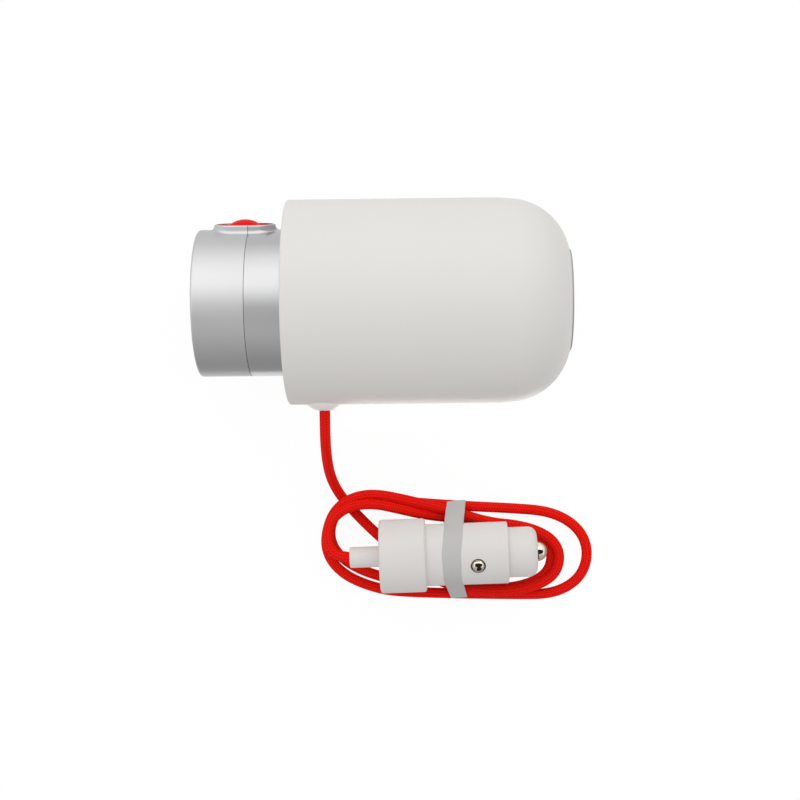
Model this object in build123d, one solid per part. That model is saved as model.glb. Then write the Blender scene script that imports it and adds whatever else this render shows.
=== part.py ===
from build123d import *
from math import acos, asin, cos, degrees, hypot, pi, radians, sin, sqrt, tan
import os

# A cup-holder mains inverter lying on its side, with its 12 V plug on a braided lead.
# Millimetres. X runs along the device from the neck to the domed base, Z is up.
# The origin lies under the middle of the device, on the surface that it rests on.

# ---- Driving dimensions: casing ----
overall_length = 121.0
body_radius = 33.5
body_wall = 2.2
rim_edge_radius = 0.75
neck_length = 29.0
blend_radius = 85.0
blend_turn = 6.2
dome_radius = 20.3
moulded_gap = 0.1
screw_gap = 0.02

grille_radius = 16.6
grille_thickness = 2.0
grille_proud = 0.5
grille_edge_radius = 0.25
grille_floor = 2.0
grille_slot_width = 1.3
grille_ring_radii = (5.4, 8.6, 11.8)
grille_spokes = 6
grille_spoke_width = 2.4
exhaust_radius = 13.6

shoulder_thickness = 2.6
neck_radius = 24.0
neck_wall = 1.8
neck_edge_radius = 0.9
neck_upper_length = 16.9
seam_gap = 0.16
flange_radius = 29.0
flange_thickness = 2.0
spigot_length = 2.0
ledge_wall = 2.9
face_seat_wall = 1.5

# ---- Driving dimensions: button and its pad on the neck ----
pad_turn = 10.0
pad_length = 20.0
pad_width = 12.8
pad_height = 1.8
pad_offset = 1.6
pad_lip = 0.9
pad_flare_radius = 1.4
pad_edge_radius = 0.45
button_gap = 0.1
button_recess = 0.6
button_base_height = 3.5
button_dome_radius = 5.6
button_dome_height = 2.2
button_flange_lip = 1.1
button_flange_thickness = 1.2
button_travel = 0.8
switch_size = 6.0
switch_height = 3.5
switch_bore_depth = 1.8
plunger_radius = 1.75
plunger_length = 2.0
plunger_gap = 0.08
switch_rise = 1.2
switch_board_thickness = 1.0
switch_board_length = 14.0
switch_board_width = 27.6
switch_board_shift = 2.0
ledge_width = 6.0
ledge_height = 2.0
ledge_length = 6.5

# ---- Driving dimensions: outlets in the neck's end ----
face_recess = 1.5
face_thickness = 2.5
blade_spacing = 12.7
blade_slot_width = 2.2
blade_slot_length = 8.0
earth_inset = 5.2
earth_offset = 11.9
earth_radius = 2.6
usb_rows = (-6.5, -14.5)
usb_width = 13.2
usb_height = 5.8
usb_depth = 14.0
usb_shell_wall = 0.35
usb_tongue_height = 1.84
usb_tongue_width = 11.1
usb_tongue_setback = 1.0
vent_slot_width = 1.6
vent_slot_length = 13.0
vent_offsets = (11.0, 14.2)
light_offset = 5.1
light_radius = 0.9
light_flange_radius = 1.6
light_flange_thickness = 1.0
housing_half_width = 10.0
housing_length = 11.3
housing_low_wall = 0.4
housing_high_wall = 1.1
earth_boss_radius = 4.6
contact_wall = 0.5
contact_clearance = 0.25
post_radius = 2.2
post_inset = 3.85
post_angles = (28.6, -28.6, 138.5, -138.5)
outlet_board_thickness = 1.6
outlet_board_margin = 0.7
outlet_board_gap = 0.5

# ---- Driving dimensions: chassis, boards and fan inside the body ----
plate_thickness = 2.0
front_plate_opening = 16.0
rear_plate_x = 30.5
rail_height = 6.0
rail_width = 3.8
rail_wall_gap = 0.27
groove_depth = 1.6
groove_clearance = 0.05
board_drop = 10.0
board_thickness = 1.6
board_end_gap = 0.5

screw_radius = 1.0
screw_length = 6.0
screw_head_radius = 1.9
screw_head_height = 1.3
screw_slot_width = 0.5
screw_slot_depth = 0.5
screw_head_clearance = 0.5
case_boss_radius = 3.0
case_boss_length = 8.0
case_boss_sink = 0.5
case_boss_angles = (50.0, 130.0, 270.0)
neck_screw_ring = 26.2
neck_screw_angles = (90.0, 225.0, 315.0)

core_size = (28.0, 20.0, 20.0)
core_window = 6.0
core_limb = 8.0
core_centre = (8.0, -12.4)
winding_wall = 4.6
choke_radius = 6.0
choke_section = 2.2
choke_centre = (-13.0, -10.0)
input_cap_radius = 5.0
input_cap_height = 18.0
input_cap_centres = ((-13.6, 8.0), (-13.6, 19.0))
bus_cap_radius = 6.5
bus_cap_length = 25.0
bus_cap_x = 10.0
bus_cap_gap = 0.1
sink_thickness = 2.0
sink_length = 34.0
sink_height = 18.0
sink_rail_gap = 0.2
sink_centre_x = 10.0
fin_count = 5
fin_thickness = 1.0
fin_reach = 2.2
transistor_count = 3
transistor_width = 10.0
transistor_body_height = 9.0
transistor_body_thickness = 4.4
transistor_tab_height = 15.6
transistor_tab_thickness = 1.3
transistor_pitch = 11.5
transistor_lead_height = 2.0
transistor_lead_thickness = 1.0
transistor_screw_radius = 1.4
transistor_screw_head = 2.6
terminal_size = (9.0, 7.0, 12.0)
terminal_wall_gap = 7.0
output_terminal_size = (5.0, 12.0, 9.0)
output_terminal_x = -21.4
output_terminal_y = 0.0
output_wire_radius = 0.8
output_wire_pitch = 3.2
supply_wire_radius = 0.6
supply_wire_pitch = 1.8

fan_size = 40.0
fan_depth = 10.0
fan_corner_radius = 3.0
fan_bore_radius = 19.2
fan_hole_pitch = 32.0
fan_hub_radius = 9.5
fan_hub_wall = 0.9
fan_hub_end = 1.2
fan_tip_gap = 0.7
fan_axial_gap = 0.5
fan_mount_thickness = 1.5
fan_mount_radius = 8.6
fan_strut_width = 2.4
fan_blades = 7
fan_blade_thickness = 1.0
fan_blade_pitch = 38.0
fan_shaft_radius = 1.0
fan_bearing_wall = 1.0
fan_bearing_clearance = 0.03
fan_tube_wall = 1.0
fan_stator_radius = 7.6
fan_stator_gap = 0.05
fan_poles = 4
fan_pole_gap_depth = 2.0
fan_pole_gap_width = 1.0
fan_struts = 4

# ---- Driving dimensions: cord, plug and strap ----
cord_diameter = 3.55
cord_exit_from_rim = 11.5
cord_bend_share = 0.45
grommet_radius = 6.1
grommet_proud = 2.0
grommet_tip_radius = 2.1
grommet_sink = 0.2
grommet_neck_radius = 3.4
grommet_flange_radius = 4.6
grommet_flange_thickness = 1.8
clamp_size = (9.0, 5.4, 2.0)

plug_origin = (-3.05, -85.14)
plug_axis_height = 16.2
plug_turn = 1.57
sleeve_radius = 3.5
sleeve_length = 10.2
sleeve_edge_radius = 0.5
sleeve_stub_radius = 2.6
sleeve_flange_radius = 4.6
sleeve_flange_thickness = 1.5
collar_radius = 12.4
collar_length = 15.55
collar_edge_radius = 1.0
collar_floor = 3.0
barrel_radius = 10.4
barrel_length = 27.7
barrel_wall = 1.8
barrel_edge_radius = 0.6
barrel_spigot_radius = 9.0
barrel_spigot_wall = 1.5
barrel_web_thickness = 1.5
barrel_web_x = 22.0
nose_radius = 8.45
nose_length = 9.8
nose_end_radius = 3.0
nose_end_wall = 2.1
nose_spigot_length = 5.0
nose_wall = 2.2
tip_radius = 3.3
tip_proud = 3.4
tip_travel = 2.5
tip_flange_radius = 5.4
tip_flange_thickness = 1.4
tip_hole_clearance = 0.1
tip_back_gap = 0.1
fuse_radius = 3.175
fuse_length = 30.0
fuse_cap_length = 6.0
fuse_cap_wall = 0.1
fuse_tube_wall = 1.0
fuse_tube_gap = 0.1
spring_wire_radius = 0.35
tip_spring_radius = 2.3
tip_spring_turns = 4.5
tip_spring_spare = 1.0
ball_radius = 2.25
ball_proud = 1.2
ball_x = 32.9
ball_turn = 19.0
ball_travel = 1.0
ball_hole_gap = 0.3
ball_neck_radius = 1.6
ball_flange_radius = 2.8
ball_flange_thickness = 0.8
ball_flange_gap = 0.25
side_spring_radius = 1.5
side_spring_turns = 2.5

strap_x = 26.0
strap_width = 6.7
strap_thickness = 0.8
hank_height = 7.2
plug_clearance = 0.3
outer_loops = ((-5.5, -81.0, 16.4), (52.6, -85.4, 15.6))
inner_loops = ((-7.5, -80.5, 11.2), (45.0, -84.2, 9.0))
strands_at_strap = ((-14.7, 0.0), (15.4, 0.0), (-12.6, 3.0), (13.6, 3.0))

# Route of the lead from the clamp inside the body, under the hank's loops and the plug's
# collar, to the far side of the hank, chosen by hand.
lead_route = [
    (-20.0, -27.5, 33.5),
    (-20.0, -41.0, 33.5),
    (-19.9, -50.8, 23.8),
    (-19.4, -58.2, 11.6),
    (-17.2, -66.6, 2.6),
    (-10.6, -75.6, 1.8),
    (-1.2, -84.2, 1.8),
    (9.6, -92.6, 1.8),
]
# Route of the last half loop, from the top of the hank into the plug's sleeve.
tail_route = [
    (3.0, -69.6, 6.0),
    (-5.2, -68.2, 8.2),
    (-12.6, -69.2, 10.4),
    (-18.0, -73.0, 12.4),
    (-20.4, -78.6, 14.3),
    (-19.2, -83.4, 15.8),
    (-15.6, -85.48, 16.2),
    (-10.5, -85.35, 16.2),
]

# ---- Places worked out from the driving dimensions ----
axis_z = body_radius
neck_end_x = -overall_length / 2
base_x = overall_length / 2
rim_x = neck_end_x + neck_length
seam_x = neck_end_x + neck_upper_length
pad_x = seam_x - pad_offset
body_bore = body_radius - body_wall
case_boss_ring = body_bore - case_boss_radius + case_boss_sink
flange_x = rim_x + shoulder_thickness
chassis_x = flange_x + flange_thickness
rails_x = chassis_x + plate_thickness
cord_exit_x = rim_x + cord_exit_from_rim
neck_bore = neck_radius - neck_wall
ledge_radius = neck_radius - ledge_wall
face_x = neck_end_x + face_recess
face_back_x = face_x + face_thickness
outlet_board_x = face_x + usb_depth
outlet_board_radius = ledge_radius - outlet_board_margin
earth_row = ledge_radius - earth_inset
blade_row = earth_row - earth_offset
light_row = earth_row - light_offset
housing_low_row = blade_row - blade_slot_length / 2 - contact_wall - housing_low_wall
housing_high_row = blade_row + blade_slot_length / 2 + contact_wall + housing_high_wall
post_ring = ledge_radius - post_inset
post_places = [(post_ring * sin(radians(angle)), post_ring * cos(radians(angle))) for angle in post_angles]
rail_reach = sqrt(body_bore**2 - (board_drop + rail_height / 2)**2) - rail_wall_gap
rail_inner = rail_reach - rail_width
board_half_width = rail_inner + groove_depth
board_top = -board_drop + board_thickness / 2
sink_y = rail_inner - sink_rail_gap - fin_reach - sink_thickness
bus_cap_y = sink_y - transistor_body_thickness - bus_cap_gap - bus_cap_radius
cord_radius = cord_diameter / 2
tight = 0.001
edge_tolerance = 0.01


# ---- Small helpers ----
def block(x, y, z):
    """A box given by its lowest and highest value along each axis."""
    size = Box(x[1] - x[0], y[1] - y[0], z[1] - z[0])
    return Pos((x[0] + x[1]) / 2, (y[0] + y[1]) / 2, (z[0] + z[1]) / 2) * size


def rod_x(radius, start, end, y=0.0, z=0.0):
    """A round bar along X."""
    return Pos((start + end) / 2, y, z) * Rot(0, 90, 0) * Cylinder(radius, end - start)


def rod_z(radius, start, end, x=0.0, y=0.0):
    """A round bar along Z."""
    return Pos(x, y, (start + end) / 2) * Cylinder(radius, end - start)


def prism_x(sketch, start, length):
    """A sketch drawn on Y and Z, pushed out along X."""
    return extrude(Plane(origin=(start, 0, 0), x_dir=(0, 1, 0), z_dir=(1, 0, 0)) * sketch, amount=length)


def prism_z(sketch, start, height):
    """A sketch drawn on X and Y, pushed up along Z."""
    return extrude(Pos(0, 0, start) * sketch, amount=height)


def turned(outline):
    """A closed line of (x, radius), turned about the X axis."""
    return revolve(make_face(outline.edges()), Axis.X, 360)


def turned_points(*points):
    """Straight-sided turned part from its (x, radius) corners."""
    return turned(Polyline(*points, close=True))


def screw(length):
    """A slotted screw along +X with the underside of its head at the origin."""
    shank = rod_x(screw_radius, 0, length)
    head = rod_x(screw_head_radius, -screw_head_height, 0)
    slot_x = (-screw_head_height - tight, -screw_head_height + screw_slot_depth)
    slot_y = (-screw_head_radius, screw_head_radius)
    slot_z = (-screw_slot_width / 2, screw_slot_width / 2)
    return shank + head - block(slot_x, slot_y, slot_z)


def coil_spring(radius, turns, height):
    """A round-wire spring standing on the origin, as high as its seat to seat distance."""
    rise = height - 2 * spring_wire_radius
    line = Helix(pitch=rise / turns, height=rise, radius=radius)
    wire = Plane(origin=line @ 0, z_dir=line % 0) * Circle(spring_wire_radius)
    return Pos(0, 0, spring_wire_radius) * sweep(wire, path=line, is_frenet=True)


def group(frame, things):
    """Separate solids that share one node, put in their frame."""
    return Compound(children=[frame * thing for thing in things])


def on_ring(ring, angles, thing):
    """Copies of a thing that lies along X, at the given angles round the X axis."""
    return [Rot(angle, 0, 0) * Pos(0, ring, 0) * thing for angle in angles]


in_body = Pos(0, 0, axis_z)
in_neck = Pos(0, 0, axis_z) * Rot(pad_turn - 90, 0, 0)
in_plug = Pos(plug_origin[0], plug_origin[1], plug_axis_height) * Rot(0, 0, plug_turn)
at_grommet = Pos(cord_exit_x, 0, axis_z) * Rot(90, 0, 0)
side_frames = {"upper": Rot(ball_turn, 0, 0) * Pos(ball_x, 0, 0),
               "lower": Rot(ball_turn + 180, 0, 0) * Pos(ball_x, 0, 0)}

# ---- White body shell: one moulded cup with a domed end ----
turn = radians(blend_turn)
seat_radius = grille_radius + moulded_gap
blend_centre_r = body_radius - blend_radius
dome_centre_r = blend_centre_r + (blend_radius - dome_radius) * cos(turn)
dome_seat_x = base_x - grille_proud
dome_centre_x = dome_seat_x - sqrt(dome_radius**2 - (seat_radius - dome_centre_r)**2)
blend_x = dome_centre_x - (blend_radius - dome_radius) * sin(turn)
grille_back_x = base_x - grille_thickness
floor_x = grille_back_x - grille_floor


def dome_arcs(inset, last_angle):
    """The gentle blend and the dome's own arc, moved inwards by a wall."""
    blend = CenterArc((blend_x, blend_centre_r), blend_radius - inset, 90, -blend_turn)
    first_angle = 90 - blend_turn
    dome = CenterArc((dome_centre_x, dome_centre_r), dome_radius - inset, first_angle,
                     last_angle - first_angle)
    return blend, dome


def body_shell():
    outer_end = degrees(asin((seat_radius - dome_centre_r) / dome_radius))
    inner_end = degrees(acos((floor_x - dome_centre_x) / (dome_radius - body_wall)))
    outer_blend, outer_dome = dome_arcs(0, outer_end)
    inner_blend, inner_dome = dome_arcs(body_wall, inner_end)
    rim_centre = (rim_x + rim_edge_radius, body_radius - rim_edge_radius)
    rim = CenterArc(rim_centre, rim_edge_radius, 180, -90)
    wall = Line(rim @ 1, outer_blend @ 0)
    base = Polyline(outer_dome @ 1, (grille_back_x, seat_radius), (grille_back_x, exhaust_radius),
                    (floor_x, exhaust_radius), inner_dome @ 1)
    mouth = Polyline(inner_blend @ 0, (rim_x, body_bore), rim @ 0)
    profile = rim + wall + outer_blend + outer_dome + base + inner_dome + inner_blend + mouth
    shell = turned(profile)
    boss_start = rails_x
    boss = rod_x(case_boss_radius, boss_start, boss_start + case_boss_length)
    boss -= rod_x(screw_radius + screw_gap, boss_start, boss_start + case_boss_length)
    room = rod_x(body_radius - body_wall / 2, boss_start, boss_start + case_boss_length)
    for one in on_ring(case_boss_ring, case_boss_angles, boss):
        shell += one & room
    shell = in_body * shell
    return shell - at_grommet * rod_z(grommet_neck_radius, 0, body_radius)


def shoulder_ring():
    outer = body_bore - moulded_gap
    inner = neck_radius + moulded_gap
    return in_body * turned_points((rim_x, inner), (rim_x, outer), (flange_x, outer), (flange_x, inner))


def base_grille():
    disc = rod_x(grille_radius, grille_back_x, base_x)
    rim = disc.edges().filter_by(GeomType.CIRCLE).sort_by(Axis.X)[-1]
    disc = fillet(rim, grille_edge_radius)
    for radius in grille_ring_radii:
        slot = Circle(radius + grille_slot_width / 2) - Circle(radius - grille_slot_width / 2)
        for index in range(grille_spokes):
            spoke = Rot(0, 0, index * 180 / grille_spokes) * Rectangle(2 * grille_radius, grille_spoke_width)
            slot -= spoke
        disc -= prism_x(slot, grille_back_x, grille_thickness)
    return in_body * disc


# ---- Silver neck: two turned rings that share the raised pad for the button ----
lip_top = neck_radius + pad_height
button_top = lip_top - button_recess
flange_top = button_top - button_base_height
flange_low = flange_top - button_flange_thickness
window_length = pad_length - 2 * pad_lip
window_width = pad_width - 2 * pad_lip
pocket_grow = 2 * (button_flange_lip + button_gap)


def slot_at_button(length, width, low, high):
    """A round-ended prism over the middle of the button, along its travel."""
    return Pos(pad_x, 0, 0) * prism_z(SlotOverall(length, width), low, high - low)


def neck_blank():
    """The neck's outside with the pad on it, still solid."""
    core = rod_x(neck_radius, neck_end_x, flange_x)
    end = core.edges().filter_by(GeomType.CIRCLE).sort_by(Axis.X)[0]
    core = fillet(end, neck_edge_radius)
    pad = slot_at_button(pad_length, pad_width, ledge_radius, lip_top)
    pad = fillet(pad.faces().sort_by(Axis.Z)[-1].edges(), pad_edge_radius)
    blank = core + pad
    root = []
    for edge in blank.edges():
        places = edge.positions([0, 0.3, 0.7, 1])
        at_skin = all(abs(hypot(place.Y, place.Z) - neck_radius) < edge_tolerance for place in places)
        by_pad = all(abs(place.X - pad_x) < pad_length and place.Z > 0 for place in places)
        if at_skin and by_pad and edge.bounding_box().max.X < flange_x - tight:
            root.append(edge)
    return fillet(root, pad_flare_radius)


blank = neck_blank()
button_window = slot_at_button(window_length, window_width, 0, lip_top + pad_height)
button_pocket = slot_at_button(window_length + pocket_grow, window_width + pocket_grow,
                               flange_low - button_travel - button_gap, flange_top + button_gap)


def neck_upper_ring():
    bore = rod_x(ledge_radius, neck_end_x, seam_x + spigot_length)
    seat = rod_x(neck_radius - face_seat_wall, neck_end_x, face_back_x)
    end = seam_x - seam_gap / 2
    ring = blank & block((neck_end_x, end), (-body_radius, body_radius), (-body_radius, body_radius))
    ring += rod_x(neck_bore - moulded_gap, end, seam_x + spigot_length)
    return in_neck * (ring - bore - seat - button_window - button_pocket)


def neck_lower_ring():
    start = seam_x + seam_gap / 2
    ring = blank & block((start, flange_x), (-body_radius, body_radius), (-body_radius, body_radius))
    ring += rod_x(flange_radius, flange_x, chassis_x)
    ring -= rod_x(neck_bore, start, chassis_x)
    ring -= button_window
    ring -= button_pocket
    half = switch_board_width / 2
    ledge_start = seam_x + spigot_length + moulded_gap
    for side in (-1, 1):
        span = sorted((side * (half - ledge_width / 2), side * (half + ledge_width)))
        ledge = block((ledge_start, ledge_start + ledge_length), span,
                      (switch_board_low - ledge_height, switch_board_low))
        ring += ledge & rod_x(neck_radius - neck_wall / 2, start, chassis_x)
    ring = in_neck * ring
    head_room = rod_x(screw_head_radius + screw_head_clearance, flange_x, chassis_x)
    for one in on_ring(case_boss_ring, case_boss_angles, head_room):
        ring -= in_body * one
    thread = rod_x(screw_radius + screw_gap, flange_x, chassis_x)
    for one in on_ring(neck_screw_ring, neck_screw_angles, thread):
        ring -= in_body * one
    return ring


# ---- Button, its switch and the small board under it ----
switch_top = flange_low - switch_rise
switch_low = switch_top - switch_height
switch_board_low = switch_low - switch_board_thickness


def power_button():
    length = window_length - 2 * button_gap
    width = window_width - 2 * button_gap
    grow = 2 * button_flange_lip
    base = slot_at_button(length, width, flange_low, button_top)
    base += slot_at_button(length + grow, width + grow, flange_low, flange_top)
    ball = (button_dome_radius**2 + button_dome_height**2) / (2 * button_dome_height)
    dome = Pos(pad_x, 0, button_top + button_dome_height - ball) * Sphere(ball)
    room = slot_at_button(length, width, button_top, button_top + button_dome_height)
    return in_neck * (base + (dome & room))


def switch_plunger():
    return in_neck * rod_z(plunger_radius, flange_low - plunger_length, flange_low, pad_x, 0)


def button_switch():
    half = switch_size / 2
    case = block((pad_x - half, pad_x + half), (-half, half), (switch_low, switch_top))
    well = rod_z(plunger_radius + plunger_gap, switch_top - switch_bore_depth, switch_top, pad_x, 0)
    return in_neck * (case - well)


def switch_board():
    middle = seam_x + switch_board_shift
    half = switch_board_length / 2
    return in_neck * block((middle - half, middle + half), (-switch_board_width / 2, switch_board_width / 2),
                           (switch_board_low, switch_low))


# ---- Outlets: face plate, contact block, contacts, ports and their board ----
face_radius = neck_radius - face_seat_wall - moulded_gap
housing_back_x = face_back_x + housing_length
contact_outer = (blade_slot_width + 2 * contact_wall, blade_slot_length + 2 * contact_wall)


def blade_places():
    return [(blade_row, side * blade_spacing / 2) for side in (-1, 1)]


def face_openings():
    """Everything that is cut through the face plate, drawn on Y and Z."""
    cuts = [Pos(row, high) * Rectangle(blade_slot_length, blade_slot_width) for row, high in blade_places()]
    cuts.append(Pos(earth_row, 0) * Circle(earth_radius))
    cuts.append(Pos(light_row, 0) * Circle(light_radius + screw_gap))
    for row in usb_rows:
        cuts.append(Pos(row, 0) * Rectangle(usb_height, usb_width))
    for side in (-1, 1):
        for offset in vent_offsets:
            cuts.append(Pos(0, side * offset) * SlotOverall(vent_slot_length, vent_slot_width))
    return cuts


def outlet_face():
    plate = rod_x(face_radius, face_x, face_back_x)
    for cut in face_openings():
        plate -= prism_x(cut, face_x, face_thickness)
    for high, row in post_places:
        plate += rod_x(post_radius, face_back_x, outlet_board_x, row, high)
        plate -= rod_x(screw_radius + screw_gap, face_back_x, outlet_board_x, row, high)
    return in_neck * plate


def outlet_housing():
    span = (housing_low_row, housing_high_row)
    block_part = block((face_back_x, housing_back_x), span, (-housing_half_width, housing_half_width))
    block_part += rod_x(earth_boss_radius, face_back_x, housing_back_x, earth_row, 0)
    bridge = (housing_high_row - tight, earth_row)
    block_part += block((face_back_x, housing_back_x), bridge, (-earth_radius, earth_radius))
    for row, high in blade_places():
        hole = Rectangle(contact_outer[1] + 2 * screw_gap, contact_outer[0] + 2 * screw_gap)
        block_part -= prism_x(Pos(row, high) * hole, face_back_x, housing_length)
    contact_hole = earth_radius + contact_wall + screw_gap
    block_part -= rod_x(contact_hole, face_back_x, housing_back_x, earth_row, 0)
    block_part -= rod_x(light_radius + screw_gap, face_back_x, housing_back_x, light_row, 0)
    return in_neck * block_part


def blade_contacts():
    """Two folded brass channels that grip the plug's flat pins."""
    channels = []
    for row, high in blade_places():
        body = Rectangle(contact_outer[1], contact_outer[0]) - Rectangle(blade_slot_length, blade_slot_width)
        end = outlet_board_x - contact_wall
        start = face_back_x + contact_clearance
        channel = prism_x(Pos(row, high) * body, start, end - start)
        cap = Rectangle(contact_outer[1], contact_outer[0])
        channels.append(channel + prism_x(Pos(row, high) * cap, end, contact_wall))
    return group(in_neck, channels)


def earth_contact():
    sleeve = Circle(earth_radius + contact_wall) - Circle(earth_radius)
    end = outlet_board_x - contact_wall
    start = face_back_x + contact_clearance
    part = prism_x(Pos(earth_row, 0) * sleeve, start, end - start)
    part += prism_x(Pos(earth_row, 0) * Circle(earth_radius + contact_wall), end, contact_wall)
    return in_neck * part


def usb_shells():
    shells = []
    for row in usb_rows:
        tube = Rectangle(usb_height - 2 * screw_gap, usb_width - 2 * screw_gap)
        bore = Rectangle(usb_height - 2 * usb_shell_wall, usb_width - 2 * usb_shell_wall)
        shell = prism_x(Pos(row, 0) * tube, face_x, usb_depth)
        shell -= prism_x(Pos(row, 0) * bore, face_x, usb_depth - usb_shell_wall)
        shells.append(shell)
    return group(in_neck, shells)


def usb_tongues():
    tongues = []
    for row in usb_rows:
        top = row + usb_height / 2 - usb_shell_wall
        start = face_x + usb_tongue_setback
        end = face_x + usb_depth - usb_shell_wall
        half = usb_tongue_width / 2
        tongues.append(block((start, end), (top - usb_tongue_height, top), (-half, half)))
    return group(in_neck, tongues)


def status_light():
    pipe = rod_x(light_radius, face_x, housing_back_x, light_row, 0)
    pipe += rod_x(light_flange_radius, housing_back_x, outlet_board_x, light_row, 0)
    return in_neck * pipe


def outlet_board():
    board = rod_x(outlet_board_radius, outlet_board_x, outlet_board_x + outlet_board_thickness)
    high_side = (switch_board_low - outlet_board_gap, neck_radius)
    board -= block((neck_end_x, 0), (-neck_radius, neck_radius), high_side)
    for high, row in post_places:
        board -= rod_x(screw_radius + screw_gap, outlet_board_x, 0, row, high)
    return in_neck * board


def outlet_screws():
    head_x = outlet_board_x + outlet_board_thickness
    fitted = [Pos(head_x, row, high) * Rot(0, 180, 0) * screw(screw_length) for high, row in post_places]
    return group(in_neck, fitted)


# ---- Chassis and the parts of the main board ----
def chassis():
    radius = body_bore - moulded_gap
    frame = rod_x(radius, chassis_x, rails_x) - rod_x(front_plate_opening, chassis_x, rails_x)
    rear = rod_x(radius, rear_plate_x, rear_plate_x + plate_thickness)
    frame += rear - rod_x(fan_bore_radius, rear_plate_x, rear_plate_x + plate_thickness)
    low = -board_drop - rail_height / 2
    for side in (-1, 1):
        span = sorted((side * rail_inner, side * rail_reach))
        frame += block((rails_x, rear_plate_x), span, (low, low + rail_height))
        groove_span = sorted((side * rail_inner, side * board_half_width))
        half = board_thickness / 2 + groove_clearance
        frame -= block((rails_x, rear_plate_x), groove_span, (-board_drop - half, -board_drop + half))
    through = rod_x(screw_radius + screw_gap, chassis_x, rails_x)
    for one in on_ring(case_boss_ring, case_boss_angles, through):
        frame -= one
    for one in on_ring(neck_screw_ring, neck_screw_angles, through):
        frame -= one
    for y, z in fan_holes():
        frame -= rod_x(screw_radius + screw_gap, rear_plate_x, rear_plate_x + plate_thickness, y, z)
    return in_body * frame


def case_screws():
    fitted = on_ring(case_boss_ring, case_boss_angles, Pos(chassis_x, 0, 0) * screw(screw_length))
    return group(in_body, fitted)


def neck_screws():
    length = plate_thickness + flange_thickness
    one = Pos(rails_x, 0, 0) * Rot(0, 180, 0) * screw(length)
    return group(in_body, on_ring(neck_screw_ring, neck_screw_angles, one))


def on_board(x, y, height):
    """Span of a box that stands on the main board."""
    return (x, y, (board_top, board_top + height))


def spread(middle, size):
    return (middle - size / 2, middle + size / 2)


def main_board():
    half = board_thickness / 2
    length = (rails_x + board_end_gap, rear_plate_x - board_end_gap)
    width = (-board_half_width, board_half_width)
    return in_body * block(length, width, (-board_drop - half, -board_drop + half))


def transformer_core():
    x, y = core_centre
    core = block(*on_board(spread(x, core_size[0]), spread(y, core_size[1]), core_size[2]))
    window_z = (board_top + core_limb / 2, board_top + core_size[2] - core_limb / 2)
    for side in (-1, 1):
        middle = x + side * (core_limb + core_window) / 2
        core -= block(spread(middle, core_window), spread(y, core_size[1]), window_z)
    return in_body * core


def transformer_winding():
    """Copper round the core's middle limb, through both windows."""
    x, y = core_centre
    window_z = (board_top + core_limb / 2, board_top + core_size[2] - core_limb / 2)
    outer = RectangleRounded(core_limb + 2 * winding_wall, core_size[1] + 2 * winding_wall, winding_wall)
    coil = outer - Rectangle(core_limb, core_size[1])
    height = window_z[1] - window_z[0]
    return in_body * Pos(x, y, 0) * prism_z(coil, window_z[0], height)


def choke_coil():
    ring = Torus(choke_radius - choke_section, choke_section)
    return in_body * Pos(choke_centre[0], choke_centre[1], board_top + choke_section) * ring


def input_capacitors():
    cans = [rod_z(input_cap_radius, board_top, board_top + input_cap_height, x, y)
            for x, y in input_cap_centres]
    return group(in_body, cans)


def bus_capacitor():
    start = bus_cap_x - bus_cap_length / 2
    end = start + bus_cap_length
    return in_body * rod_x(bus_cap_radius, start, end, bus_cap_y, board_top + bus_cap_radius)


def transistor_places():
    first = sink_centre_x - transistor_pitch * (transistor_count - 1) / 2
    return [first + transistor_pitch * index for index in range(transistor_count)]


tab_top = board_top + transistor_lead_height + transistor_tab_height
tab_screw_z = tab_top - (transistor_tab_height - transistor_body_height) / 2


def heat_sink():
    x = spread(sink_centre_x, sink_length)
    back = sink_y + sink_thickness
    sink = block(*on_board(x, (sink_y, back), sink_height))
    pitch = (sink_height - fin_thickness) / (fin_count - 1)
    for index in range(fin_count):
        low = board_top + index * pitch
        sink += block(x, (back - tight, back + fin_reach), (low, low + fin_thickness))
    for place in transistor_places():
        hole = Rot(90, 0, 0) * rod_z(transistor_screw_radius + screw_gap, -back - fin_reach, -sink_y + tight)
        sink -= Pos(place, 0, tab_screw_z) * hole
    return in_body * sink


def power_transistors():
    low = board_top + transistor_lead_height
    parts = []
    for place in transistor_places():
        x = spread(place, transistor_width)
        body = block(x, (sink_y - transistor_body_thickness, sink_y), (low, low + transistor_body_height))
        tab = block(x, (sink_y - transistor_tab_thickness, sink_y), (low, tab_top))
        leads = block(x, (sink_y - transistor_tab_thickness, sink_y - transistor_tab_thickness
                          + transistor_lead_thickness), (board_top, low + tight))
        hole_end = transistor_tab_thickness - sink_y
        hole = Rot(90, 0, 0) * rod_z(transistor_screw_radius + screw_gap, -sink_y, hole_end)
        parts.append(body + tab + leads - Pos(place, 0, tab_screw_z) * hole)
    return group(in_body, parts)


def transistor_screws():
    reach = transistor_tab_thickness + sink_thickness
    parts = []
    for place in transistor_places():
        head_y = sink_y - transistor_tab_thickness
        shank = Rot(90, 0, 0) * rod_z(transistor_screw_radius, -head_y - reach, -head_y)
        head = Rot(90, 0, 0) * rod_z(transistor_screw_head, -head_y, -head_y + screw_head_height)
        parts.append(Pos(place, 0, tab_screw_z) * (shank + head))
    return group(in_body, parts)


terminal_back = terminal_wall_gap - body_bore
terminal_y = terminal_back + terminal_size[1] / 2


def input_terminal():
    x = spread(cord_exit_x, terminal_size[0])
    return in_body * block(*on_board(x, spread(terminal_y, terminal_size[1]), terminal_size[2]))


def output_terminal():
    x = spread(output_terminal_x, output_terminal_size[0])
    y = spread(output_terminal_y, output_terminal_size[1])
    return in_body * block(*on_board(x, y, output_terminal_size[2]))


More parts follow.
